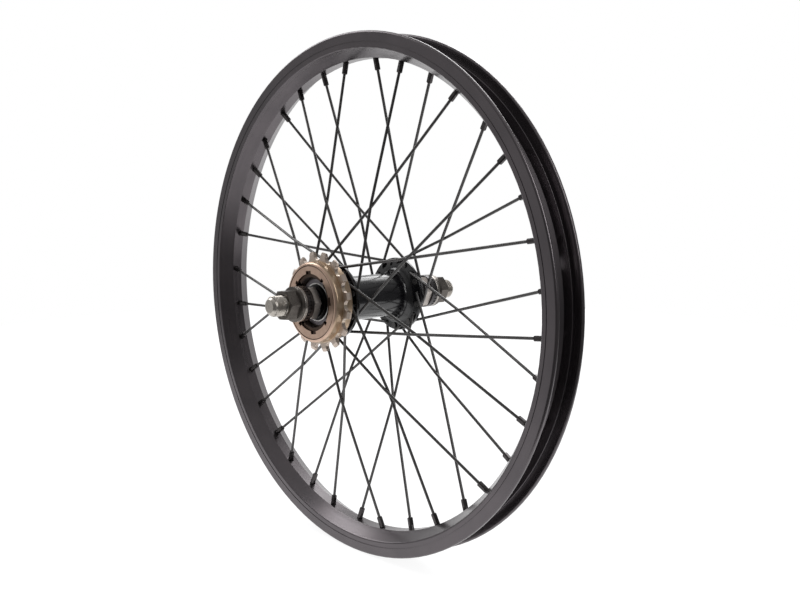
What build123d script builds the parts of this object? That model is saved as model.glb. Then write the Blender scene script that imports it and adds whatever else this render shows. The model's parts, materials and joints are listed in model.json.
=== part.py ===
from build123d import *
from collections import namedtuple
from math import asin, cos, degrees, radians, sin, sqrt, tan
import os

# Rear wheel of a small bicycle, nutted axle, single-speed freewheel. Millimetres.
# The origin is the middle of the axle. The axle lies along Y, the drive side is -Y, and Z is up.
# Angles about the axle run from +X towards +Z. "Out" along the axle is away from the middle.

DRIVE = -1
LEFT = 1

# Rim: one extruded section rolled into a hoop
bead_seat_radius = 177.5
edge_above_seat = 6.5
rim_width = 27.2
rim_wall = 1.9
hook_width = 3.2
hook_height = 2.6
lip_round = 1.5
hook_round = 1.2
foot_below_seat = 4.6
foot_round = 1.2
bed_below_foot = 6.15
bed_width = 8.0
well_width = 17.2
well_step = 1.3
shelf_width = 2.5
shelf_round = 0.5
wear_groove_below_edge = 7.5
wear_groove_width = 0.9
wear_groove_depth = 0.35
valve_hole_radius = 4.25
valve_hole_angle = 11.6
drill_reach = 6.0

# Spokes and nipples
spoke_count = 36
crossings = 3
first_nipple_angle = 86.61
spoke_radius = 1.0
spoke_gap = 0.03
elbow_radius = 2.0
kink_radius = 40.0
crossing_gap = 0.06
head_radius = 2.0
head_thickness = 1.1
head_round = 0.5
spoke_depth_in_nipple = 1.5
nipple_stagger = 0.3
nipple_seat_height = 1.6
nipple_seat_radius = 3.2
nipple_head_radius = 3.0
nipple_head_edge = 0.4
nipple_dome = 0.2
nipple_dome_radius = 2.2
nipple_shank_radius = 1.95
nipple_flats = 3.4
nipple_flats_length = 5.6
nipple_length = 12.0
nipple_slot_width = 1.0
nipple_slot_depth = 1.0
nipple_end_round = 0.4
nipple_clearance = 0.2
seat_clearance = 0.05

# Hub shell
flange_radius = 26.6
flange_thickness = 2.6
flange_round = 0.6
drive_flange = 29.2
left_flange = 30.0
hole_circle = 23.5
spoke_hole_radius = 1.3
barrel_radius = 15.6
barrel_flare = 6.0
barrel_bore = 11.5
drive_boss_radius = 20.8
freewheel_shoulder = 34.8
nose_radius = 17.3
nose_end = 44.0
nose_chamfer = 0.5
left_boss_radius = 18.0
left_boss_end = 40.3
left_boss_round = 0.8

# Hub bearings: loose-ball size 1/4 inch in a cage, between a pressed cup and a cone
ball_radius = 3.175
ball_pitch_radius = 11.8
balls_per_side = 9
race_gap = 0.025
drive_balls = 39.4
left_balls = 35.3
cup_radius = 16.2
cup_fit = 0.02
cup_lip_radius = 13.0
cup_inner_reach = 3.9
cup_outer_reach = 3.3
cage_thickness = 1.0
cage_inner_reach = 3.8
cage_outer_reach = 1.0
pocket_gap = 0.1
cone_inner_reach = 2.6
cone_shoulder_radius = 11.0
cone_collar_radius = 12.0
cone_collar_start = 3.8
cone_collar_width = 1.2
cone_body_radius = 11.2
cone_chamfer = 0.6
dust_cap_gap = 0.35
dust_cap_thickness = 1.5
dust_cap_round = 0.4
dust_cap_lip_width = 0.9
dust_cap_lip_height = 0.5
dust_cap_lip_round = 0.3

# Axle and its hardware, the same on both sides
axle_radius = 6.95
axle_beyond_nut = 10.4
axle_point_length = 2.7
axle_point_radius = 4.7
axle_dome = 1.2
thread_relief_radius = 6.4
thread_relief_in_nut = 0.8
thread_relief_beyond_nut = 0.5
thread_fit = 0.05
width_over_locknuts = 110.0
locknut_thickness = 5.5
locknut_flats = 21.0
lock_washer_thickness = 5.2
lock_washer_radius = 12.0
serration_count = 30
serration_depth = 0.6
serration_width = 1.2
serration_length = 2.6
flat_washer_thickness = 2.6
flat_washer_radius = 12.0
washer_chamfer = 0.5
nut_flange_thickness = 2.8
nut_flange_radius = 12.0
nut_flange_slope = 0.8
nut_height = 7.9
nut_flats = 19.0
nut_countersink = 0.7
hex_turn = 4.0
hex_chamfer_angle = 30.0
hex_chamfer_reach = 1.0

# Freewheel
tooth_count = 16
chain_pitch = 12.7
roller_radius = 3.875
roller_clearance = 0.075
tooth_tip_radius = 34.5
tooth_thickness = 2.9
tooth_chamfer_height = 2.2
tooth_chamfer_depth = 0.8
tooth_flank_angle = 22.0
first_tooth_angle = 11.6
sprocket_middle = 42.1
shell_radius = 27.9
shell_back = 35.2
shell_front = 49.6
shell_front_round = 2.4
small_ball_radius = 1.5875
small_ball_pitch_radius = 22.2
small_balls_per_row = 24
back_row = 37.3
front_row = 46.6
small_race_gap = 0.03
ratchet_count = 24
ratchet_depth = 1.6
ratchet_width = 5.0
ratchet_middle = 42.0
ratchet_clearance = 0.3
body_bore_clearance = 0.05
body_back_radius = 23.6
body_back_rim = 0.9
body_front_radius = 19.6
body_front = 48.2
remover_slot_count = 4
remover_slot_width = 4.2
remover_slot_depth = 3.4
remover_slot_angle = 52.0
lockring_radius = 25.2
lockring_joint = 0.1
lockring_front = 49.4
lockring_thickness = 1.2
lockring_bore_clearance = 0.2
notch_count = 4
wide_notch_radius = 21.7
wide_notch_width = 5.6
wide_notch_angle = 7.0
narrow_notch_radius = 21.3
narrow_notch_width = 2.8
narrow_notch_angle = 52.0
notch_depth = 1.1

# Pawls, each on a round heel in a pocket of the inner body
pawl_count = 2
pawl_width = 4.4
pawl_heel_radius = 1.3
pawl_heel_circle = 20.2
pawl_span = 25.7
pawl_toe_circle = 23.2
pawl_toe_back = 2.8
pawl_toe_thickness = 1.9
pawl_fit = 0.05
pawl_swing = 8.0
pocket_margin = 0.25
pocket_height = 8.0
spring_wire_radius = 0.4
spring_circle = 21.2
spring_gap_angle = 24.0
spring_clearance = 0.05
spring_slot_clearance = 0.3
spring_groove_width = 1.1

# What follows from the sizes above
rim_radius = bead_seat_radius + edge_above_seat
foot_radius = bead_seat_radius - foot_below_seat
bed_radius = foot_radius - bed_below_foot
wear_groove_radius = rim_radius - wear_groove_below_edge
locknut_face = width_over_locknuts / 2
locknut_start = locknut_face - locknut_thickness
lock_washer_face = locknut_face + lock_washer_thickness
flat_washer_face = lock_washer_face + flat_washer_thickness
nut_flange_face = flat_washer_face + nut_flange_thickness
nut_face = nut_flange_face + nut_height
axle_half = nut_face + axle_beyond_nut
hardware_bore = axle_radius + thread_fit
well_radius = bed_radius + rim_wall
seat_radius = well_radius + nipple_seat_height
nipple_bore = spoke_radius + spoke_gap
race_radius = ball_radius + race_gap
small_race_radius = small_ball_radius + small_race_gap
pitch_radius = chain_pitch / 2 / sin(radians(180 / tooth_count))
ratchet_tip_radius = small_ball_pitch_radius
ratchet_root_radius = ratchet_tip_radius + ratchet_depth
body_drum_radius = ratchet_tip_radius - ratchet_clearance
lockring_bore = body_front_radius + lockring_bore_clearance
flange_place = {DRIVE: drive_flange, LEFT: left_flange}
balls_place = {DRIVE: drive_balls, LEFT: left_balls}


# A sketch plane square to the axle, seen from the drive side: X to the right, Z up
def square_to_axle(across):
    return Plane.XZ.offset(-across)


# A point at a radius and an angle about the axle, at a place along it
def wheel_point(radius, angle, across):
    return Vector(radius * cos(radians(angle)), across, radius * sin(radians(angle)))


# A half section beside the axle, for turning: each corner is its radius, its place and its rounding
def half_section(corners):
    with BuildSketch(Plane.XY) as section:
        with BuildLine():
            places = [(radius, across) for radius, across, rounding in corners]
            roundings = [rounding for radius, across, rounding in corners]
            FilletPolyline(*places, radius=roundings, close=True)
        make_face()
    return section.sketch


# The same on one side of the wheel, with places given outwards from the middle
def side_section(side, corners):
    return half_section([(radius, side * out, rounding) for radius, out, rounding in corners])


# The hexagon's corners are cut by a cone that leaves a round face: where that cone starts
def hex_chamfer_section(flats, face):
    face_radius = flats / 2
    reach = flats / sqrt(3) + hex_chamfer_reach
    drop = (reach - face_radius) * tan(radians(hex_chamfer_angle))
    corners = [(face_radius, face, 0), (reach, face, 0), (reach, face - drop, 0)]
    return side_section(DRIVE, corners)


# Lacing: where each spoke runs, from its head at the hub to its seat in the rim
SpokeRun = namedtuple("SpokeRun", "side head elbow crossing seat outside")

hole_turn = crossings * 720 / spoke_count
crossing_turn = 360 / spoke_count
line_length = sqrt(
    seat_radius**2 + hole_circle**2 - 2 * seat_radius * hole_circle * cos(radians(hole_turn))
)
crossing_radius = (
    seat_radius
    * hole_circle
    * sin(radians(hole_turn))
    / (
        seat_radius * sin(radians(crossing_turn))
        + hole_circle * sin(radians(hole_turn - crossing_turn))
    )
)
rim_to_crossing = sqrt(
    seat_radius**2
    + crossing_radius**2
    - 2 * seat_radius * crossing_radius * cos(radians(crossing_turn))
)
crossing_share = rim_to_crossing / line_length
crossing_offset = spoke_radius + crossing_gap
tangent_radius = seat_radius * hole_circle * sin(radians(hole_turn)) / line_length
run_over_flange = sqrt(flange_radius**2 - tangent_radius**2) - sqrt(hole_circle**2 - tangent_radius**2)


# Where a spoke on the inner face of a flange, and one on its outer face, turn at the elbow
def elbow_places(side):
    inner = flange_place[side] - flange_thickness / 2 - spoke_radius - spoke_gap
    over_face = flange_place[side] + flange_thickness / 2 + spoke_radius + 2 * spoke_gap
    slope_share = run_over_flange / (line_length - rim_to_crossing)
    fixed = crossing_offset - nipple_stagger * (1 - crossing_share) - crossing_share * inner / 2
    outer = (over_face + slope_share * fixed) / (1 - slope_share * (1 - crossing_share / 2))
    return inner, outer


# Spokes alternate: odd ones go to the left flange, and each flange's spokes alternate in face and lean
def spoke_run(number):
    side = LEFT if number % 2 == 1 else DRIVE
    outside = number % 4 in (0, 1)
    lean = 1 if number % 4 in (0, 3) else -1
    nipple_angle = first_nipple_angle - (number - 1) * 360 / spoke_count
    hole_angle = nipple_angle + lean * hole_turn
    inner, outer = elbow_places(side)
    mean = nipple_stagger + crossing_share * ((inner + outer) / 2 - nipple_stagger)
    face = 1 if outside else -1
    head_place = flange_place[side] - face * flange_thickness / 2
    return SpokeRun(
        side=side,
        head=wheel_point(hole_circle, hole_angle, side * head_place),
        elbow=wheel_point(hole_circle, hole_angle, side * (outer if outside else inner)),
        crossing=wheel_point(
            crossing_radius, nipple_angle + lean * crossing_turn, side * (mean - face * crossing_offset)
        ),
        seat=wheel_point(seat_radius, nipple_angle, side * nipple_stagger),
        outside=outside,
    )


spoke_numbers = range(1, spoke_count + 1)
spoke_runs = [spoke_run(number) for number in spoke_numbers]

# Each nipple's own plane: its origin is the centre of its round seat, and it looks out along the spoke
nipple_planes = [Plane(origin=run.seat, z_dir=run.seat - run.crossing) for run in spoke_runs]

# Rim
half_rim = rim_width / 2
wall_face = half_rim - rim_wall
shelf_edge = wall_face - shelf_width
half_well = well_width / 2
half_bed = bed_width / 2
groove_top = wear_groove_radius + wear_groove_width / 2
groove_foot = wear_groove_radius - wear_groove_width / 2
half_outline = [
    (bed_radius, half_bed, 0),
    (foot_radius, half_rim, foot_round),
    (groove_foot, half_rim, 0),
    (groove_foot, half_rim - wear_groove_depth, 0),
    (groove_top, half_rim - wear_groove_depth, 0),
    (groove_top, half_rim, 0),
    (rim_radius, half_rim, lip_round),
    (rim_radius, half_rim - hook_width, hook_round),
    (rim_radius - hook_height, half_rim - hook_width, 0),
    (rim_radius - hook_height, wall_face, 0),
    (bead_seat_radius, wall_face, 0),
    (bead_seat_radius, shelf_edge, shelf_round),
    (foot_radius - well_step, half_well, 0),
    (well_radius, half_bed, 0),
]
other_half = [(radius, -across, rounding) for radius, across, rounding in reversed(half_outline)]

with BuildPart() as rim:
    revolve(half_section(half_outline + other_half), axis=Axis.Y)
    with Locations(*nipple_planes):
        Cylinder(
            nipple_shank_radius + nipple_clearance,
            drill_reach,
            align=(Align.CENTER, Align.CENTER, Align.MAX),
            mode=Mode.SUBTRACT,
        )
        Sphere(nipple_seat_radius + seat_clearance, mode=Mode.SUBTRACT)
    valve_centre = wheel_point(well_radius, valve_hole_angle, 0)
    with Locations(Plane(origin=valve_centre, z_dir=valve_centre)):
        Cylinder(valve_hole_radius, 2 * drill_reach, mode=Mode.SUBTRACT)

# One nipple, along Z, with the centre of its round seat at the origin
head_under = -sqrt(nipple_seat_radius**2 - nipple_head_radius**2)
neck = -sqrt(nipple_seat_radius**2 - nipple_shank_radius**2)
nipple_foot = nipple_dome - nipple_length
seat_start = degrees(asin(head_under / nipple_seat_radius))
seat_end = degrees(asin(neck / nipple_seat_radius))

with BuildPart() as nipple:
    with BuildSketch(Plane.XZ):
        with BuildLine():
            CenterArc((0, 0), nipple_seat_radius, seat_start, seat_end - seat_start)
            Line((nipple_shank_radius, neck), (nipple_shank_radius, nipple_foot + nipple_end_round))
            Line(
                (nipple_shank_radius, nipple_foot + nipple_end_round),
                (nipple_shank_radius - nipple_end_round, nipple_foot),
            )
            Line((nipple_shank_radius - nipple_end_round, nipple_foot), (nipple_bore, nipple_foot))
            Line((nipple_bore, nipple_foot), (nipple_bore, nipple_dome))
            Line((nipple_bore, nipple_dome), (nipple_dome_radius, nipple_dome))
            Line((nipple_dome_radius, nipple_dome), (nipple_head_radius, -nipple_head_edge))
            Line((nipple_head_radius, -nipple_head_edge), (nipple_head_radius, head_under))
        make_face()
    revolve(axis=Axis.Z)
    with BuildSketch(Plane.XY.offset(nipple_foot)):
        Circle(nipple_seat_radius)
        Rectangle(nipple_flats, nipple_flats, mode=Mode.SUBTRACT)
    extrude(amount=nipple_flats_length, mode=Mode.SUBTRACT)
    with Locations((0, 0, nipple_dome)):
        Box(
            2 * nipple_head_radius,
            nipple_slot_width,
            nipple_slot_depth,
            align=(Align.CENTER, Align.CENTER, Align.MAX),
            mode=Mode.SUBTRACT,
        )

with BuildPart() as nipples:
    with Locations(*nipple_planes):
        add(nipple.part)


# A spoke: a headed wire, bent at the elbow, and bent a little where it passes its outermost neighbour
def make_spoke(run):
    tip = run.seat + (run.crossing - run.seat).normalized() * spoke_depth_in_nipple
    head_faces = -run.side if run.outside else run.side
    with BuildPart() as spoke:
        with BuildLine() as wire:
            FilletPolyline(run.head, run.elbow, run.crossing, tip, radius=[elbow_radius, kink_radius])
        with BuildSketch(Plane(origin=run.head, z_dir=wire.line % 0)):
            Circle(spoke_radius)
        sweep(path=wire.line)
        with BuildSketch(Plane(origin=run.head, z_dir=(0, head_faces, 0))):
            Circle(head_radius)
        extrude(amount=head_thickness)
        top = spoke.edges().filter_by(GeomType.CIRCLE).sort_by(Axis.Y)[-1 if head_faces > 0 else 0]
        fillet(top, radius=head_round)
    return spoke.part


spokes = [make_spoke(run) for run in spoke_runs]

# Hub shell
drive_inner = drive_flange - flange_thickness / 2
drive_outer = drive_flange + flange_thickness / 2
left_inner = left_flange - flange_thickness / 2
left_outer = left_flange + flange_thickness / 2
drive_seat = drive_balls - cup_inner_reach
left_seat = left_balls - cup_inner_reach

with BuildPart() as hub_shell:
    revolve(
        half_section(
            [
                (cup_radius + cup_fit, -nose_end, 0),
                (nose_radius, -nose_end, nose_chamfer),
                (nose_radius, -freewheel_shoulder, 0),
                (drive_boss_radius, -freewheel_shoulder, flange_round),
                (drive_boss_radius, -drive_outer, 0),
                (flange_radius, -drive_outer, flange_round),
                (flange_radius, -drive_inner, flange_round),
                (barrel_radius, -drive_inner, barrel_flare),
                (barrel_radius, left_inner, barrel_flare),
                (flange_radius, left_inner, flange_round),
                (flange_radius, left_outer, flange_round),
                (left_boss_radius, left_outer, 0),
                (left_boss_radius, left_boss_end, left_boss_round),
                (cup_radius + cup_fit, left_boss_end, 0),
                (cup_radius + cup_fit, left_seat, 0),
                (barrel_bore, left_seat, 0),
                (barrel_bore, -drive_seat, 0),
                (cup_radius + cup_fit, -drive_seat, 0),
            ]
        ),
        axis=Axis.Y,
    )
    with Locations(*[Plane(origin=run.head, z_dir=(0, run.side, 0)) for run in spoke_runs]):
        Cylinder(spoke_hole_radius, 2 * drill_reach, mode=Mode.SUBTRACT)


# Bearing cup: a pressed ring, its track on the inner side of the balls
def make_cup(side):
    balls = balls_place[side]
    mouth_radius = ball_pitch_radius + race_radius
    with BuildPart() as cup:
        corners = [
            (cup_radius, balls - cup_inner_reach, 0),
            (cup_radius, balls + cup_outer_reach, 0),
            (mouth_radius, balls + cup_outer_reach, 0),
            (mouth_radius, balls, 0),
            (cup_lip_radius, balls, 0),
            (cup_lip_radius, balls - cup_inner_reach, 0),
        ]
        revolve(side_section(side, corners), axis=Axis.Y)
        with Locations((0, side * balls, 0)):
            Torus(ball_pitch_radius, race_radius, rotation=(90, 0, 0), mode=Mode.SUBTRACT)
    return cup.part


# Bearing cone: threaded on the axle, its track on the outer side of the balls
def make_cone(side):
    balls = balls_place[side]
    collar = balls + cone_collar_start
    neck_radius = ball_pitch_radius - race_radius
    with BuildPart() as cone:
        corners = [
            (hardware_bore, balls - cone_inner_reach, 0),
            (neck_radius, balls - cone_inner_reach, 0),
            (neck_radius, balls, 0),
            (cone_shoulder_radius, balls, 0),
            (cone_shoulder_radius, collar, 0),
            (cone_collar_radius, collar, 0),
            (cone_collar_radius, collar + cone_collar_width, 0),
            (cone_body_radius, collar + cone_collar_width, 0),
            (cone_body_radius, locknut_start, cone_chamfer),
            (hardware_bore, locknut_start, 0),
        ]
        revolve(side_section(side, corners), axis=Axis.Y)
        with Locations((0, side * balls, 0)):
            Torus(ball_pitch_radius, race_radius, rotation=(90, 0, 0), mode=Mode.SUBTRACT)
    return cone.part


# Dust cap: a thin ring pressed in over the cup, with a lip round the cone's collar
def make_dust_cap(side):
    back = balls_place[side] + cup_outer_reach
    face = back + dust_cap_thickness
    inside = cone_collar_radius + dust_cap_gap
    with BuildPart() as cap:
        corners = [
            (inside, back, 0),
            (cup_radius, back, 0),
            (cup_radius, face, dust_cap_round),
            (inside + dust_cap_lip_width, face, 0),
            (inside + dust_cap_lip_width, face + dust_cap_lip_height, dust_cap_lip_round),
            (inside, face + dust_cap_lip_height, dust_cap_lip_round),
        ]
        revolve(side_section(side, corners), axis=Axis.Y)
    return cap.part


# Balls of one side in their cage, a ring whose pockets are open on the outer side
def make_ball_row(side):
    balls = balls_place[side]
    middle = square_to_axle(side * balls)
    cage_inside = ball_pitch_radius - cage_thickness / 2
    with BuildPart() as row:
        corners = [
            (cage_inside, balls - cage_inner_reach, 0),
            (cage_inside + cage_thickness, balls - cage_inner_reach, 0),
            (cage_inside + cage_thickness, balls + cage_outer_reach, 0),
            (cage_inside, balls + cage_outer_reach, 0),
        ]
        revolve(side_section(side, corners), axis=Axis.Y)
        with Locations(middle):
            with PolarLocations(ball_pitch_radius, balls_per_side):
                Sphere(ball_radius + pocket_gap, mode=Mode.SUBTRACT)
                Sphere(ball_radius)
    return row.part


# Axle: ends turned down to a blunt point with a slight dome, and a relief where the nut's thread ends
relief_end = nut_face + thread_relief_beyond_nut
relief_start = nut_face - thread_relief_in_nut

with BuildPart() as axle:
    half_axle = [
        (0, axle_half, 0),
        (axle_point_radius, axle_half, axle_dome),
        (axle_radius, axle_half - axle_point_length, axle_dome),
        (axle_radius, relief_end, 0),
        (thread_relief_radius, relief_end, 0),
        (thread_relief_radius, relief_start, 0),
        (axle_radius, relief_start, 0),
    ]
    mirrored_half = [(radius, -across, rounding) for radius, across, rounding in reversed(half_axle)]
    revolve(half_section(half_axle + mirrored_half), axis=Axis.Y)

# Locknuts
with BuildPart() as locknuts:
    with BuildSketch(square_to_axle(-locknut_start)):
        RegularPolygon(locknut_flats / 2, 6, major_radius=False, rotation=hex_turn)
        Circle(hardware_bore, mode=Mode.SUBTRACT)
    extrude(amount=locknut_thickness)
    revolve(hex_chamfer_section(locknut_flats, locknut_face), axis=Axis.Y, mode=Mode.SUBTRACT)
    mirror(about=Plane.XZ)

# Lock washers, with teeth round the rim of the face that bites the frame
with BuildPart() as lock_washers:
    corners = [
        (hardware_bore, locknut_face, 0),
        (lock_washer_radius, locknut_face, washer_chamfer),
        (lock_washer_radius, lock_washer_face, 0),
        (hardware_bore, lock_washer_face, 0),
    ]
    revolve(side_section(DRIVE, corners), axis=Axis.Y)
    with BuildSketch(square_to_axle(-lock_washer_face)):
        with PolarLocations(lock_washer_radius, serration_count):
            Rectangle(2 * serration_depth, serration_width)
    extrude(amount=-serration_length, mode=Mode.SUBTRACT)
    mirror(about=Plane.XZ)

# Flat washers
with BuildPart() as flat_washers:
    corners = [
        (hardware_bore, lock_washer_face, 0),
        (flat_washer_radius, lock_washer_face, washer_chamfer),
        (flat_washer_radius, flat_washer_face, washer_chamfer),
        (hardware_bore, flat_washer_face, 0),
    ]
    revolve(side_section(DRIVE, corners), axis=Axis.Y)
    mirror(about=Plane.XZ)

# Axle nuts: a hexagon on a round flange
with BuildPart() as axle_nuts:
    corners = [
        (hardware_bore, flat_washer_face, 0),
        (nut_flange_radius, flat_washer_face, 0),
        (nut_flange_radius, nut_flange_face - nut_flange_slope, 0),
        (nut_flats / 2, nut_flange_face, 0),
        (hardware_bore, nut_flange_face, 0),
    ]
    revolve(side_section(DRIVE, corners), axis=Axis.Y)
    with BuildSketch(square_to_axle(-nut_flange_face)):
        RegularPolygon(nut_flats / 2, 6, major_radius=False, rotation=hex_turn)
        Circle(hardware_bore, mode=Mode.SUBTRACT)
    extrude(amount=nut_height)
    revolve(hex_chamfer_section(nut_flats, nut_face), axis=Axis.Y, mode=Mode.SUBTRACT)
    bore_edges = axle_nuts.edges().filter_by(GeomType.CIRCLE).filter_by(
        lambda edge: edge.radius < nut_flats / 2 - nut_countersink
    )
    chamfer(bore_edges.sort_by(Axis.Y)[0], length=nut_countersink)
    mirror(about=Plane.XZ)

# Freewheel sprocket: chain teeth outside, and inside a ratchet between two ball tracks
root_radius = pitch_radius - roller_radius
roller_seat = roller_radius + roller_clearance
tooth_face = sprocket_middle + tooth_thickness / 2
tooth_back = sprocket_middle - tooth_thickness / 2
track_radius = small_ball_pitch_radius + small_race_radius
joint_radius = lockring_radius + lockring_joint
lockring_back = lockring_front - lockring_thickness
joint_floor = lockring_back - lockring_joint
gap_reach = tooth_tip_radius - pitch_radius + tooth_thickness
gap_flare = gap_reach * tan(radians(tooth_flank_angle))
tip_foot = tooth_tip_radius - tooth_chamfer_height
beyond_tip = tooth_tip_radius + tooth_chamfer_depth
chamfer_rise = tooth_chamfer_depth * (beyond_tip - tip_foot) / tooth_chamfer_height

with BuildPart() as freewheel_sprocket:
    with BuildSketch(square_to_axle(-tooth_back)):
        Circle(tooth_tip_radius)
        with PolarLocations(pitch_radius, tooth_count, start_angle=first_tooth_angle + 180 / tooth_count):
            Circle(roller_seat, mode=Mode.SUBTRACT)
            Polygon(
                (0, -roller_seat),
                (gap_reach, -roller_seat - gap_flare),
                (gap_reach, roller_seat + gap_flare),
                (0, roller_seat),
                align=None,
                mode=Mode.SUBTRACT,
            )
    extrude(amount=tooth_thickness)
    for face, slope in ((tooth_face, -chamfer_rise), (tooth_back, chamfer_rise)):
        corners = [(tip_foot, face, 0), (beyond_tip, face, 0), (beyond_tip, face + slope, 0)]
        revolve(side_section(DRIVE, corners), axis=Axis.Y, mode=Mode.SUBTRACT)
    shell = [
        (0, shell_back, 0),
        (shell_radius, shell_back, flange_round),
        (shell_radius, shell_front, shell_front_round),
        (0, shell_front, 0),
    ]
    revolve(side_section(DRIVE, shell), axis=Axis.Y)
    inside = [
        (0, shell_back, 0),
        (track_radius, shell_back, 0),
        (track_radius, back_row, 0),
        (ratchet_tip_radius, back_row, 0),
        (ratchet_tip_radius, front_row, 0),
        (track_radius, front_row, 0),
        (track_radius, joint_floor, 0),
        (joint_radius, joint_floor, 0),
        (joint_radius, shell_front, 0),
        (0, shell_front, 0),
    ]
    revolve(side_section(DRIVE, inside), axis=Axis.Y, mode=Mode.SUBTRACT)
    for row in (back_row, front_row):
        with Locations((0, -row, 0)):
            Torus(
                small_ball_pitch_radius, small_race_radius, rotation=(90, 0, 0), mode=Mode.SUBTRACT
            )
    step = 360 / ratchet_count
    ratchet_outline = []
    for tooth in range(ratchet_count):
        ratchet_outline.append(wheel_point(ratchet_root_radius, tooth * step, 0))
        ratchet_outline.append(wheel_point(ratchet_tip_radius, tooth * step, 0))
    with BuildSketch(square_to_axle(-ratchet_middle)):
        with BuildLine():
            Polyline(*[(point.X, point.Z) for point in ratchet_outline], close=True)
        make_face()
    extrude(amount=ratchet_width / 2, both=True, mode=Mode.SUBTRACT)

# Pawls: the heel's centre, the toe's corner and the frame of each, seen from the drive side
toe_angles = [number * 360 / pawl_count - pawl_toe_back for number in range(pawl_count)]
heels = [wheel_point(pawl_heel_circle, angle - pawl_span, -ratchet_middle) for angle in toe_angles]
toes = [wheel_point(pawl_toe_circle, angle, -ratchet_middle) for angle in toe_angles]
pawl_planes = [
    Plane(origin=heel, x_dir=heel - toe, z_dir=(0, -1, 0)) for heel, toe in zip(heels, toes)
]
pawl_length = (toes[0] - heels[0]).length
toe_foot_point = wheel_point(pawl_toe_circle - pawl_toe_thickness, toe_angles[0], -ratchet_middle)
toe_foot = pawl_planes[0].to_local_coords(toe_foot_point)
swing = radians(pawl_swing)
folded_foot_x = toe_foot.X * cos(swing) - toe_foot.Y * sin(swing)
folded_foot_y = toe_foot.X * sin(swing) + toe_foot.Y * cos(swing)
heel_seat_radius = pawl_heel_radius + pawl_fit
pocket_floor = folded_foot_y - pocket_margin
pocket_end = -pawl_length - pocket_margin
pocket_width = pawl_width + 2 * pawl_fit + 2 * spring_clearance


# Each pawl is drawn as it stands in a ratchet tooth, then tipped back on its heel to lie under the teeth
def make_pawl(number):
    plane = pawl_planes[number]
    with BuildPart() as pawl:
        with BuildSketch(plane):
            Circle(pawl_heel_radius)
            with BuildLine():
                Polyline(
                    (0, pawl_heel_radius),
                    (-pawl_length, 0),
                    (toe_foot.X, toe_foot.Y),
                    (0, -pawl_heel_radius),
                    close=True,
                )
            make_face()
        extrude(amount=pawl_width / 2, both=True)
        slot_floor = spring_circle - spring_wire_radius - spring_slot_clearance
        slot = [
            (slot_floor, ratchet_middle - spring_groove_width / 2, 0),
            (ratchet_root_radius, ratchet_middle - spring_groove_width / 2, 0),
            (ratchet_root_radius, ratchet_middle + spring_groove_width / 2, 0),
            (slot_floor, ratchet_middle + spring_groove_width / 2, 0),
        ]
        revolve(side_section(DRIVE, slot), axis=Axis.Y, mode=Mode.SUBTRACT)
    return pawl.part.rotate(Axis(plane.origin, plane.z_dir), pawl_swing)


pawls = [make_pawl(number) for number in range(pawl_count)]

# Inner body: threaded on the hub nose, with the back ball track, the pawl drum and the lockring's thread
body_bore = nose_radius + body_bore_clearance
back_neck = small_ball_pitch_radius - small_race_radius
drum_front = front_row - small_race_radius
groove_floor = spring_circle - spring_wire_radius - spring_clearance

with BuildPart() as freewheel_body:
    corners = [
        (body_bore, freewheel_shoulder, 0),
        (body_back_radius, freewheel_shoulder, 0),
        (body_back_radius, freewheel_shoulder + body_back_rim, 0),
        (small_ball_pitch_radius, freewheel_shoulder + body_back_rim, 0),
        (small_ball_pitch_radius, back_row, 0),
        (body_drum_radius, back_row, 0),
        (body_drum_radius, drum_front, 0),
        (body_front_radius, drum_front, 0),
        (body_front_radius, body_front, 0),
        (body_bore, body_front, 0),
    ]
    revolve(side_section(DRIVE, corners), axis=Axis.Y)
    with Locations((0, -back_row, 0)):
        Torus(small_ball_pitch_radius, small_race_radius, rotation=(90, 0, 0), mode=Mode.SUBTRACT)
    for plane in pawl_planes:
        with BuildSketch(plane):
            Circle(heel_seat_radius)
            with BuildLine():
                Polyline(
                    (0, -heel_seat_radius),
                    (toe_foot.X, pocket_floor),
                    (pocket_end, pocket_floor),
                    (pocket_end, pocket_height),
                    (0, pocket_height),
                    close=True,
                )
            make_face()
        extrude(amount=pocket_width / 2, both=True, mode=Mode.SUBTRACT)
    groove = [
        (groove_floor, ratchet_middle - spring_groove_width / 2, 0),
        (ratchet_root_radius, ratchet_middle - spring_groove_width / 2, 0),
        (ratchet_root_radius, ratchet_middle + spring_groove_width / 2, 0),
        (groove_floor, ratchet_middle + spring_groove_width / 2, 0),
    ]
    revolve(side_section(DRIVE, groove), axis=Axis.Y, mode=Mode.SUBTRACT)
    with BuildSketch(square_to_axle(-body_front)):
        with PolarLocations(body_front_radius, remover_slot_count, start_angle=remover_slot_angle):
            Rectangle(2 * (body_front_radius - body_bore + body_bore_clearance), remover_slot_width)
    extrude(amount=-remover_slot_depth, mode=Mode.SUBTRACT)

# Lockring: screwed on the inner body's front, with the front ball track on its back and notches for a tool
with BuildPart() as freewheel_lockring:
    corners = [
        (lockring_bore, front_row, 0),
        (small_ball_pitch_radius, front_row, 0),
        (small_ball_pitch_radius, lockring_back, 0),
        (lockring_radius, lockring_back, 0),
        (lockring_radius, lockring_front, 0),
        (lockring_bore, lockring_front, 0),
    ]
    revolve(side_section(DRIVE, corners), axis=Axis.Y)
    with Locations((0, -front_row, 0)):
        Torus(small_ball_pitch_radius, small_race_radius, rotation=(90, 0, 0), mode=Mode.SUBTRACT)
    notch_kinds = (
        (wide_notch_angle, wide_notch_radius, wide_notch_width),
        (narrow_notch_angle, narrow_notch_radius, narrow_notch_width),
    )
    with BuildSketch(square_to_axle(-lockring_front)):
        for angle, reach, width in notch_kinds:
            with PolarLocations(lockring_bore, notch_count, start_angle=angle):
                Rectangle(2 * (reach - lockring_bore), width)
    extrude(amount=-notch_depth, mode=Mode.SUBTRACT)

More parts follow.
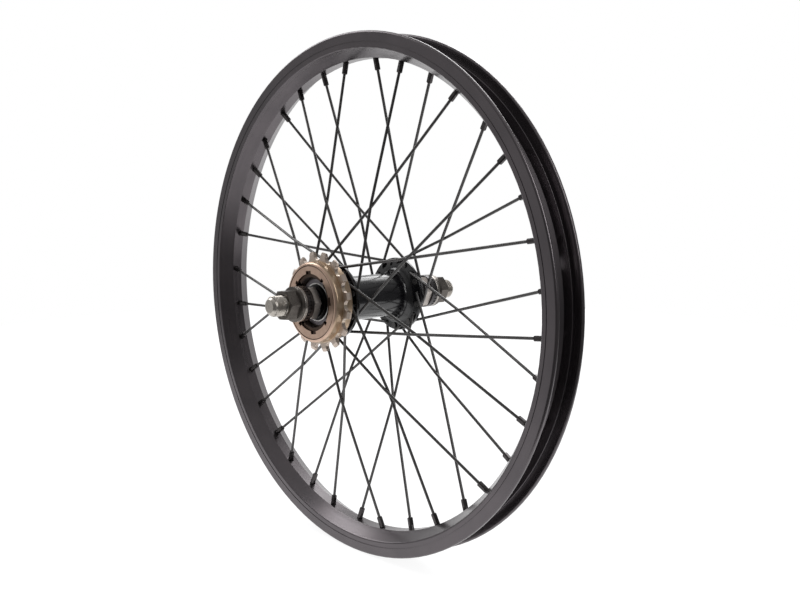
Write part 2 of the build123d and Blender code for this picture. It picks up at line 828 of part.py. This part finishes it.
# Freewheel balls: two rows
with BuildPart() as freewheel_balls:
    for row in (back_row, front_row):
        with Locations(square_to_axle(-row)):
            with PolarLocations(small_ball_pitch_radius, small_balls_per_row):
                Sphere(small_ball_radius)

# Pawl spring: an open ring of wire in the groove of the inner body
with BuildPart() as pawl_spring:
    with BuildSketch(Plane.XY):
        with Locations((spring_circle, -ratchet_middle)):
            Circle(spring_wire_radius)
    revolve(axis=Axis.Y, revolution_arc=360 - spring_gap_angle)

# One file for each named piece
pieces = {
    "rim": rim.part,
    "nipples": nipples.part,
    "hub_shell": hub_shell.part,
    "bearing_cup_drive": make_cup(DRIVE),
    "bearing_cup_left": make_cup(LEFT),
    "cone_drive": make_cone(DRIVE),
    "cone_left": make_cone(LEFT),
    "dust_cap_drive": make_dust_cap(DRIVE),
    "dust_cap_left": make_dust_cap(LEFT),
    "hub_bearing_drive": make_ball_row(DRIVE),
    "hub_bearing_left": make_ball_row(LEFT),
    "axle": axle.part,
    "locknuts": locknuts.part,
    "lock_washers": lock_washers.part,
    "flat_washers": flat_washers.part,
    "axle_nuts": axle_nuts.part,
    "freewheel_sprocket": freewheel_sprocket.part,
    "freewheel_body": freewheel_body.part,
    "freewheel_lockring": freewheel_lockring.part,
    "freewheel_balls": freewheel_balls.part,
    "pawl_spring": pawl_spring.part,
}
for number, pawl_part in enumerate(pawls, start=1):
    pieces[f"pawl_{number}"] = pawl_part
for number, spoke_part in zip(spoke_numbers, spokes):
    pieces[f"spoke_{number:02d}"] = spoke_part

os.makedirs("parts", exist_ok=True)
for name, piece in pieces.items():
    piece.label = name
    export_step(piece, f"parts/{name}.step")
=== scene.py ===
import bpy
import json
from math import radians, sqrt
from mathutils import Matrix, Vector

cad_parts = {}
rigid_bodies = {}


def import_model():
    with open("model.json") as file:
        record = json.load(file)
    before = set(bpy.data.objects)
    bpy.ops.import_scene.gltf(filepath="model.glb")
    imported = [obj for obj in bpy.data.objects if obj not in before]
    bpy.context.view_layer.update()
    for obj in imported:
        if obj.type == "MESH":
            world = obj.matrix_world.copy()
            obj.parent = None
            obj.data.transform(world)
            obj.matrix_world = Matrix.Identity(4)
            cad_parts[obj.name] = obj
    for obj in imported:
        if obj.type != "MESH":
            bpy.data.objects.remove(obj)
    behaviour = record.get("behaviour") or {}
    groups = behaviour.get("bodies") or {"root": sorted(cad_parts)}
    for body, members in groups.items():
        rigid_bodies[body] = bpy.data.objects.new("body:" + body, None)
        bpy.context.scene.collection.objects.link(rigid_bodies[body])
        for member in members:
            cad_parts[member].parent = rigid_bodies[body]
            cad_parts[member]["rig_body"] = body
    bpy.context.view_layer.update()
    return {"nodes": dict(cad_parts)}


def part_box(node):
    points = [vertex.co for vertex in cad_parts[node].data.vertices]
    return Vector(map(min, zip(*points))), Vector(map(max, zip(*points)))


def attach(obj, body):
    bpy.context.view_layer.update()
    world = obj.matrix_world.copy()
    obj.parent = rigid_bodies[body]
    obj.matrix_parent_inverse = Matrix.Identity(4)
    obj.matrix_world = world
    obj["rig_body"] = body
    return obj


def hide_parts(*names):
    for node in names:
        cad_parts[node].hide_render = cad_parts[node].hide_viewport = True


# Rear wheel of a small bicycle. Metres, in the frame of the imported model: the axle lies along Y with its
# middle at the origin, the drive side is -Y, and Z is up.

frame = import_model()
MM = 0.001

rim_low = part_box("rim")[0]
axle_low, axle_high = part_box("axle")
lockring_low, lockring_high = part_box("freewheel_lockring")
floor_height = rim_low.z

# Most of a noise's values lie between these
NOISE_LOW = 0.3
NOISE_HIGH = 0.7

# The sockets of a Mix node that carry colours: two go in and one comes out
FIRST_TONE = 6
SECOND_TONE = 7
MIXED_TONE = 2


# Colours and patterns

def colour(code):
    """An sRGB hex colour as the linear values that Blender uses."""
    shares = [int(code[place:place + 2], 16) / 255 for place in (1, 3, 5)]
    return [c / 12.92 if c <= 0.04045 else ((c + 0.055) / 1.055) ** 2.4 for c in shares] + [1.0]


def add_node(owner, kind, settings=None, links=None):
    """Adds a node to a material or world.

    A setting goes to the input of that name or number, or else to the node itself.
    """
    node = owner.node_tree.nodes.new(kind)
    for name, value in (settings or {}).items():
        if isinstance(name, int) or name in node.inputs:
            node.inputs[name].default_value = value
        else:
            setattr(node, name, value)
    for name, source in (links or {}).items():
        owner.node_tree.links.new(source, node.inputs[name])
    return node


def new_material(name):
    """A material with nothing in it yet."""
    material = bpy.data.materials.new(name)
    material.use_nodes = True
    material.node_tree.nodes.clear()
    return material


def distance_from_axle(material, place):
    """How far a point lies from the middle of the axle."""
    split = add_node(material, "ShaderNodeSeparateXYZ", links={"Vector": place})
    across = add_node(
        material, "ShaderNodeCombineXYZ", links={"X": split.outputs["X"], "Z": split.outputs["Z"]}
    )
    radius = add_node(
        material, "ShaderNodeVectorMath", {"operation": "LENGTH"}, {0: across.outputs["Vector"]}
    )
    return radius.outputs["Value"]


def ring_coordinates(material, place):
    """Radius, place along the axle and a trace of height: a pattern on these runs round the wheel."""
    height_share = 0.01
    split = add_node(material, "ShaderNodeSeparateXYZ", links={"Vector": place})
    drift = add_node(
        material, "ShaderNodeMath", {"operation": "MULTIPLY", 1: height_share}, {0: split.outputs["Z"]}
    )
    together = add_node(
        material,
        "ShaderNodeCombineXYZ",
        links={
            "X": distance_from_axle(material, place),
            "Y": split.outputs["Y"],
            "Z": drift.outputs["Value"],
        },
    )
    return together.outputs["Vector"]


def drifting_tone(material, cloud, dark, light):
    """A tone that drifts between a dark and a light one with the clouds of a noise."""
    share = add_node(
        material,
        "ShaderNodeMapRange",
        {"From Min": NOISE_LOW, "From Max": NOISE_HIGH},
        {"Value": cloud.outputs["Fac"]},
    )
    mixed = add_node(
        material,
        "ShaderNodeMix",
        {"data_type": "RGBA", FIRST_TONE: colour(dark), SECOND_TONE: colour(light)},
        {0: share.outputs["Result"]},
    )
    return mixed.outputs[MIXED_TONE]


def change_tone(material, measure, border, width, first, second):
    """The first tone where a measure is below a border and the second beyond it, blended over a width."""
    share = add_node(
        material,
        "ShaderNodeMapRange",
        {"From Min": border - width / 2, "From Max": border + width / 2},
        {"Value": measure},
    )
    mixed = add_node(
        material,
        "ShaderNodeMix",
        {"data_type": "RGBA"},
        {0: share.outputs["Result"], FIRST_TONE: first, SECOND_TONE: second},
    )
    return mixed.outputs[MIXED_TONE]


def finish_surface(material, tone, gloss, roughness, values, relief=None, depth=0.0):
    """Adds the shader: a tone, a roughness that follows one noise, and the values that hold all over.

    Where there is a relief, that noise raises the surface as far as a depth in metres.
    """
    smooth, rough = roughness
    uneven = add_node(
        material,
        "ShaderNodeMapRange",
        {"From Min": NOISE_LOW, "From Max": NOISE_HIGH, "To Min": smooth, "To Max": rough},
        {"Value": gloss.outputs["Fac"]},
    )
    links = {"Base Color": tone, "Roughness": uneven.outputs["Result"]}
    if relief is not None:
        raised = add_node(
            material, "ShaderNodeBump", {"Distance": depth}, {"Height": relief.outputs["Fac"]}
        )
        links["Normal"] = raised.outputs["Normal"]
    shader = add_node(material, "ShaderNodeBsdfPrincipled", values, links)
    add_node(material, "ShaderNodeOutputMaterial", links={"Surface": shader.outputs["BSDF"]})


# Finishes

def anodised_rim():
    """Extruded aluminium, anodised black-grey: satin, with the die's faint lines round the hoop."""
    line_spacing = 2.2 * MM   # the real lines are finer: these just show
    line_depth = 0.002 * MM
    cloud_size = 26 * MM
    material = new_material("anodised_aluminium")
    place = add_node(material, "ShaderNodeTexCoord").outputs["Object"]
    lines = add_node(
        material,
        "ShaderNodeTexNoise",
        {"Scale": 1 / line_spacing, "Detail": 1.0},
        {"Vector": ring_coordinates(material, place)},
    )
    cloud = add_node(material, "ShaderNodeTexNoise", {"Scale": 1 / cloud_size}, {"Vector": place})
    tone = drifting_tone(material, cloud, "#585356", "#625c5f")
    values = {"Metallic": 0.85, "Coat Weight": 0.35, "Coat Roughness": 0.22}
    finish_surface(material, tone, lines, (0.27, 0.33), values, lines, line_depth)
    return material


def coated_wire():
    """Stainless wire with a black coating: smooth, half dull, a little uneven along its length."""
    cloud_size = 6 * MM
    material = new_material("black_coated_wire")
    place = add_node(material, "ShaderNodeTexCoord").outputs["Object"]
    cloud = add_node(material, "ShaderNodeTexNoise", {"Scale": 1 / cloud_size}, {"Vector": place})
    tone = drifting_tone(material, cloud, "#565555", "#646261")
    finish_surface(material, tone, cloud, (0.30, 0.40), {"Metallic": 0.6})
    return material


def plated_nipple():
    """Brass with black nickel plating: dark, with small bright glints on its flats."""
    cloud_size = 3 * MM
    material = new_material("black_nickel_brass")
    place = add_node(material, "ShaderNodeTexCoord").outputs["Object"]
    cloud = add_node(material, "ShaderNodeTexNoise", {"Scale": 1 / cloud_size}, {"Vector": place})
    tone = drifting_tone(material, cloud, "#423f40", "#524f4f")
    finish_surface(material, tone, cloud, (0.18, 0.28), {"Metallic": 0.9})
    return material


def enamelled_hub():
    """Cast aluminium under thick black enamel: deep gloss, with the faint waviness of sprayed paint."""
    cloud_size = 9 * MM
    wave_spacing = 2.5 * MM
    wave_depth = 0.008 * MM
    material = new_material("gloss_black_enamel")
    place = add_node(material, "ShaderNodeTexCoord").outputs["Object"]
    cloud = add_node(material, "ShaderNodeTexNoise", {"Scale": 1 / cloud_size}, {"Vector": place})
    waves = add_node(
        material, "ShaderNodeTexNoise", {"Scale": 1 / wave_spacing, "Detail": 1.0}, {"Vector": place}
    )
    tone = drifting_tone(material, cloud, "#0f0e12", "#151418")
    values = {"Coat Weight": 0.5, "Coat Roughness": 0.12}
    finish_surface(material, tone, cloud, (0.18, 0.24), values, waves, wave_depth)
    return material


def turned_steel(name, tones, roughness, metallic=0.9, ring_depth=0.004 * MM):
    """Steel cut on a lathe: fine rings round the axle, and a plating's slight cloudiness."""
    ring_spacing = 0.6 * MM   # the real rings are finer: these just show
    cloud_size = 4 * MM
    material = new_material(name)
    place = add_node(material, "ShaderNodeTexCoord").outputs["Object"]
    rings = add_node(
        material,
        "ShaderNodeTexNoise",
        {"Scale": 1 / ring_spacing},
        {"Vector": ring_coordinates(material, place)},
    )
    cloud = add_node(material, "ShaderNodeTexNoise", {"Scale": 1 / cloud_size}, {"Vector": place})
    tone = drifting_tone(material, cloud, *tones)
    finish_surface(material, tone, rings, roughness, {"Metallic": metallic}, rings, ring_depth)
    return material


def pressed_cap():
    """Pressed steel, dull grey, with a painted highlight on its inner lip."""
    lip_radius = 13.3 * MM
    lip_blend = 0.2 * MM
    cloud_size = 4 * MM
    material = new_material("pressed_grey_steel")
    place = add_node(material, "ShaderNodeTexCoord").outputs["Object"]
    radius = distance_from_axle(material, place)
    cloud = add_node(material, "ShaderNodeTexNoise", {"Scale": 1 / cloud_size}, {"Vector": place})
    # Painted highlight: a near-white band on the inner lip stands in for light caught on its rolled edge
    lip_highlight_tone = drifting_tone(material, cloud, "#dedbd8", "#ebe9e6")
    dull = drifting_tone(material, cloud, "#6e696d", "#7b7679")
    tone = change_tone(material, radius, lip_radius, lip_blend, lip_highlight_tone, dull)
    finish_surface(material, tone, cloud, (0.26, 0.38), {"Metallic": 0.9})
    return material


def plated_freewheel():
    """Hardened steel under a bronze plating: pinkish on the face, browner on the drum, paler on the teeth.

    A painted highlight rings the corner where the drum meets the plate of teeth, oil has darkened the
    joint round the lockring, and painted shade turns the floors of the notches and the body below them
    brown.
    """
    drum_radius = 27.9 * MM
    face_end = drum_radius - 0.5 * MM
    ridge_start = drum_radius + 0.1 * MM
    ridge_end = drum_radius + 0.8 * MM
    joint_radius = lockring_high.x
    joint_half_width = 0.32 * MM
    notch_edge = joint_radius - 0.4 * MM
    notch_floor = lockring_low.y + 0.5 * MM
    cloud_size = 5 * MM
    grain_size = 0.9 * MM
    grain_depth = 0.008 * MM
    material = new_material("bronze_plated_steel")
    place = add_node(material, "ShaderNodeTexCoord").outputs["Object"]
    inwards = add_node(material, "ShaderNodeSeparateXYZ", links={"Vector": place}).outputs["Y"]
    radius = distance_from_axle(material, place)
    beside_joint = add_node(
        material, "ShaderNodeMath", {"operation": "SUBTRACT", 1: joint_radius}, {0: radius}
    )
    off_joint = add_node(
        material, "ShaderNodeMath", {"operation": "ABSOLUTE"}, {0: beside_joint.outputs["Value"]}
    )
    cloud = add_node(
        material, "ShaderNodeTexNoise", {"Scale": 1 / cloud_size, "Detail": 4.0}, {"Vector": place}
    )
    grain = add_node(
        material, "ShaderNodeTexNoise", {"Scale": 1 / grain_size, "Detail": 1.0}, {"Vector": place}
    )
    face = drifting_tone(material, cloud, "#cbab97", "#dabda9")
    drum = drifting_tone(material, cloud, "#b29a80", "#c4ad95")
    # Painted highlight: a pale band where the drum meets the plate of teeth, in place of light caught on
    # that corner
    ridge_highlight = drifting_tone(material, cloud, "#dccab4", "#eadac6")
    teeth = drifting_tone(material, cloud, "#c0b0a3", "#d1c3b8")
    # One dark brown: the real dark joint round the lockring, and also painted shade in the notches
    dark_joint_and_notch_shade = drifting_tone(material, cloud, "#46372e", "#54443a")
    tone = change_tone(material, radius, face_end, 0.6 * MM, face, drum)
    tone = change_tone(material, radius, ridge_start, 0.2 * MM, tone, ridge_highlight)
    tone = change_tone(material, radius, ridge_end, 0.4 * MM, tone, teeth)
    tone = change_tone(material, off_joint.outputs["Value"], joint_half_width, 0.2 * MM, dark_joint_and_notch_shade, tone)
    # Painted shade: deeper than the notches' floors, inside their edge, the tone turns dark brown
    with_notch_shade = change_tone(material, inwards, notch_floor, 0.3 * MM, tone, dark_joint_and_notch_shade)
    tone = change_tone(material, radius, notch_edge, 0.2 * MM, with_notch_shade, tone)
    finish_surface(material, tone, cloud, (0.28, 0.38), {"Metallic": 0.8}, grain, grain_depth)
    return material


rim_finish = anodised_rim()
wire_finish = coated_wire()
nipple_finish = plated_nipple()
hub_finish = enamelled_hub()
freewheel_finish = plated_freewheel()
cap_finish = pressed_cap()

# Bar steel with a rolled thread: pale, with soft glints on the crests
axle_finish = turned_steel("rolled_steel", ("#b3ada5", "#c3bdb5"), (0.24, 0.36))

# Zinc plating gone dull: a pale grey-brown with no sharp glint
locknut_finish = turned_steel("zinc_plated_steel", ("#b5ada7", "#c5beb8"), (0.34, 0.46), metallic=0.6)

# Zinc plating on flat stock: smoother, with thin bright edges
flat_finish = turned_steel("zinc_plated_washer_steel", ("#9c9792", "#aaa5a0"), (0.22, 0.32))

# Dark zinc plating on forged nuts: brownish grey flats
nut_finish = turned_steel("dark_zinc_steel", ("#5c5753", "#69645f"), (0.24, 0.36))

# Spring steel blackened in oil: dark grey and half dull
washer_finish = turned_steel("blackened_steel", ("#484647", "#545152"), (0.26, 0.38))

# Hardened steel, black from the furnace and ground: nearly black, with a soft sheen
cone_finish = turned_steel("hardened_black_steel", ("#2a292a", "#343233"), (0.22, 0.34))

# Ground bearing steel: smooth and bright
bearing_finish = turned_steel(
    "ground_bearing_steel", ("#b5b4b2", "#c6c5c3"), (0.12, 0.2), ring_depth=0.002 * MM
)

# The spokes get the wire's finish, and the pieces that aren't named here get that of bearing steel
FINISHES = {
    "rim": rim_finish,
    "nipples": nipple_finish,
    "hub_shell": hub_finish,
    "freewheel_sprocket": freewheel_finish,
    "freewheel_body": freewheel_finish,
    "freewheel_lockring": freewheel_finish,
    "axle_nuts": nut_finish,
    "flat_washers": flat_finish,
    "locknuts": locknut_finish,
    "lock_washers": washer_finish,
    "cone_drive": cone_finish,
    "cone_left": cone_finish,
    "dust_cap_drive": cap_finish,
    "dust_cap_left": cap_finish,
}


# Pieces

def paint(piece, finish):
    """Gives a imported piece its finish."""
    for slot in piece.material_slots:
        slot.material = finish


def select_only(piece):
    """Selects one object and makes it the active one."""
    bpy.ops.object.select_all(action="DESELECT")
    piece.select_set(True)
    bpy.context.view_layer.objects.active = piece


def merged_copy(node):
    """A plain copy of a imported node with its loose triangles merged, to cut another piece by."""
    same_point = 0.0005 * MM
    piece = node.copy()
    piece.data = node.data.copy()
    piece.parent = None
    for key in list(piece.keys()):
        del piece[key]
    bpy.context.scene.collection.objects.link(piece)
    select_only(piece)
    bpy.ops.object.mode_set(mode="EDIT")
    bpy.ops.mesh.select_all(action="SELECT")
    bpy.ops.mesh.remove_doubles(threshold=same_point)
    bpy.ops.object.mode_set(mode="OBJECT")
    return piece


def cut_end(place, outwards):
    """Cuts the edited mesh square to the axle, closes it, and drops what lies outwards, which is 1 or -1."""
    bpy.ops.mesh.select_all(action="SELECT")
    bpy.ops.mesh.bisect(
        plane_co=(0, place, 0), plane_no=(0, outwards, 0), use_fill=True, clear_outer=True
    )


def draw_thread_profile(pitch, start):
    """One V of the thread at its start: a triangle with its inner side taken away."""
    sharp_height = pitch * sqrt(3) / 2
    flat_share = 1 / 8   # of the sharp height, lost at the crest
    triangle_radius = pitch / sqrt(3)
    middle = axle_high.x + sharp_height * flat_share - triangle_radius
    bpy.ops.object.select_all(action="DESELECT")
    bpy.ops.mesh.primitive_circle_add(
        vertices=3,
        radius=triangle_radius,
        location=(middle, start, 0),
        rotation=(0, 0, radians(-90)),
    )
    profile = bpy.context.object
    bpy.ops.object.transform_apply(location=True, rotation=True, scale=True)
    bpy.ops.object.mode_set(mode="EDIT")
    bpy.ops.mesh.select_mode(type="EDGE")
    bpy.ops.mesh.select_all(action="DESELECT")
    bpy.ops.object.mode_set(mode="OBJECT")
    for edge in profile.data.edges:
        ends = [profile.data.vertices[number].co.x for number in edge.vertices]
        edge.select = max(ends) < middle
    bpy.ops.object.mode_set(mode="EDIT")
    bpy.ops.mesh.delete(type="EDGE")
    bpy.ops.object.mode_set(mode="OBJECT")
    return profile


def wind_thread(thread, pitch, turns):
    """Winds the profile about the axle, closes the joints between its turns and cuts both ends square."""
    steps = 36   # in each turn
    joint_gap = 0.01 * MM
    screw = thread.modifiers.new("thread", "SCREW")
    screw.axis = "Y"
    screw.screw_offset = pitch
    screw.iterations = turns
    screw.steps = steps
    screw.render_steps = steps
    bpy.ops.object.modifier_apply(modifier=screw.name)
    bpy.ops.object.mode_set(mode="EDIT")
    bpy.ops.mesh.select_all(action="SELECT")
    bpy.ops.mesh.remove_doubles(threshold=joint_gap)
    cut_end(axle_high.y + pitch / 2, 1)
    cut_end(axle_low.y - pitch / 2, -1)
    bpy.ops.mesh.select_all(action="SELECT")
    bpy.ops.mesh.normals_make_consistent(inside=False)
    bpy.ops.object.mode_set(mode="OBJECT")


def make_threaded_axle():
    """The axle's rolled thread, a 60 degree V of 1 mm pitch, wound along the whole bar.

    The bar's own form then flattens the crests, keeps the reliefs beside the nuts and rounds off the ends.
    """
    pitch = 1.0 * MM
    spare = 2 * pitch
    sharp_from = radians(35)
    turns = round((axle_high.y - axle_low.y + 2 * spare) / pitch)
    thread = draw_thread_profile(pitch, axle_low.y - spare)
    thread.name = "axle_threaded"
    wind_thread(thread, pitch, turns)
    bar = merged_copy(frame["nodes"]["axle"])
    select_only(thread)
    trim = thread.modifiers.new("trim", "BOOLEAN")
    trim.operation = "INTERSECT"
    trim.solver = "EXACT"
    trim.object = bar
    bpy.ops.object.modifier_apply(modifier=trim.name)
    bpy.data.objects.remove(bar)
    bpy.ops.object.shade_smooth_by_angle(angle=sharp_from)
    thread.data.materials.clear()
    thread.data.materials.append(axle_finish)
    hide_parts("axle")
    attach(thread, frame["nodes"]["axle"]["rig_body"])


for name, node in frame["nodes"].items():
    finish = wire_finish if name.startswith("spoke_") else FINISHES.get(name, bearing_finish)
    paint(node, finish)

make_threaded_axle()


# Floor, light and camera

def seen_directly(owner, path):
    """1 for the camera's rays and for those that metal or glass sends on, and 0 for the rest."""
    total = path.outputs["Is Camera Ray"]
    for kind in ("Is Glossy Ray", "Is Transmission Ray"):
        added = add_node(
            owner,
            "ShaderNodeMath",
            {"operation": "ADD", "use_clamp": True},
            {0: total, 1: path.outputs[kind]},
        )
        total = added.outputs["Value"]
    return total


def make_floor():
    """A round white table. It shows as white as the backdrop, and the wheel's soft shadow stays on it."""
    table_radius = 0.85
    table_middle = (-0.45, 0.4, floor_height)
    glow_strength = 1.3
    glow_share = 0.7
    bpy.ops.object.select_all(action="DESELECT")
    bpy.ops.mesh.primitive_circle_add(
        vertices=96, radius=table_radius, fill_type="NGON", location=table_middle
    )
    floor = bpy.context.object
    floor.name = "floor"
    material = new_material("studio_floor")
    plain = add_node(material, "ShaderNodeBsdfDiffuse", {"Color": colour("#f4f4f6")})
    glow = add_node(
        material, "ShaderNodeEmission", {"Color": colour("#ffffff"), "Strength": glow_strength}
    )
    seen = seen_directly(material, add_node(material, "ShaderNodeLightPath"))
    share = add_node(material, "ShaderNodeMath", {"operation": "MULTIPLY", 1: glow_share}, {0: seen})
    mixed = add_node(
        material,
        "ShaderNodeMixShader",
        links={0: share.outputs["Value"], 1: plain.outputs["BSDF"], 2: glow.outputs["Emission"]},
    )
    add_node(material, "ShaderNodeOutputMaterial", links={"Surface": mixed.outputs["Shader"]})
    floor.data.materials.append(material)


def bright_patch(world, way, middle, start, full, level):
    """Light from round one direction: nothing at the start's nearness to its middle, all of it at full."""
    near = add_node(world, "ShaderNodeVectorMath", {"operation": "DOT_PRODUCT", 1: middle}, {0: way})
    patch = add_node(
        world,
        "ShaderNodeMapRange",
        {"From Min": start, "From Max": full, "To Max": level},
        {"Value": near.outputs["Value"]},
    )
    return patch.outputs["Result"]


def make_world():
    """A white backdrop, with light from it, from the front on the left and from overhead.

    The rest of the studio is dim, so that gloss and metal turn dark on the wheel's right.
    """
    dim_level = 0.13
    soft_light_level = 0.85   # of what the camera and the reflections see
    world = bpy.data.worlds.new("studio")
    bpy.context.scene.world = world
    world.use_nodes = True
    world.node_tree.nodes.clear()
    way = add_node(world, "ShaderNodeTexCoord").outputs["Generated"]
    patches = [
        bright_patch(world, way, middle=(-0.75, 0.66, 0), start=0.3, full=0.85, level=0.85),
        bright_patch(world, way, middle=(-0.55, -0.83, -0.1), start=0.75, full=1.0, level=0.5),
        bright_patch(world, way, middle=(0, 0, 1), start=0.3, full=0.9, level=0.4),
    ]
    path = add_node(world, "ShaderNodeLightPath")
    studio = path.outputs["Is Camera Ray"]
    for patch in patches:
        brighter = add_node(world, "ShaderNodeMath", {"operation": "MAXIMUM"}, {0: studio, 1: patch})
        studio = brighter.outputs["Value"]
    shown = add_node(
        world, "ShaderNodeMapRange", {"To Min": dim_level, "To Max": 1.0}, {"Value": studio}
    )
    level = add_node(
        world,
        "ShaderNodeMapRange",
        {"To Min": soft_light_level, "To Max": 1.0},
        {"Value": seen_directly(world, path)},
    )
    strength = add_node(
        world,
        "ShaderNodeMath",
        {"operation": "MULTIPLY"},
        {0: shown.outputs["Result"], 1: level.outputs["Result"]},
    )
    sky = add_node(
        world,
        "ShaderNodeBackground",
        {"Color": colour("#ffffff")},
        {"Strength": strength.outputs["Value"]},
    )
    add_node(world, "ShaderNodeOutputWorld", links={"Surface": sky.outputs["Background"]})


def add_lamp(name, place, size, power):
    """A soft box that faces the middle of the wheel. Its power is in watts."""
    lamp = bpy.data.lights.new(name, "AREA")
    lamp.shape = "RECTANGLE"
    lamp.size, lamp.size_y = size
    lamp.energy = power
    holder = bpy.data.objects.new(name, lamp)
    bpy.context.scene.collection.objects.link(holder)
    holder.location = place
    holder.rotation_euler = (-Vector(place)).to_track_quat("-Z", "Y").to_euler()


def make_lamps():
    """Soft boxes: high on the left in front, on the right to light the tyre well, and behind the wheel."""
    add_lamp("key", place=(-1.3, -0.45, 1.15), size=(0.9, 0.9), power=10)
    add_lamp("right", place=(1.5, 0.3, 0.9), size=(0.5, 1.2), power=10)
    add_lamp("back", place=(-0.6, 1.4, 1.0), size=(1.0, 1.0), power=10)


def make_camera():
    """The photograph's view: from the drive side and its right, a little above the axle."""
    place = (0.5370, -0.4558, 0.0838)
    tilted_down = 6.969
    turned_left = 47.693
    lens = bpy.data.cameras.new("camera")
    lens.sensor_width = 36
    lens.lens = 44.56
    lens.clip_start = 0.01
    holder = bpy.data.objects.new("camera", lens)
    bpy.context.scene.collection.objects.link(holder)
    holder.location = place
    holder.rotation_euler = (radians(90 - tilted_down), 0, radians(turned_left))
    bpy.context.scene.camera = holder


make_floor()
make_world()
make_lamps()
make_camera()
bpy.context.scene.view_settings.view_transform = "Standard"
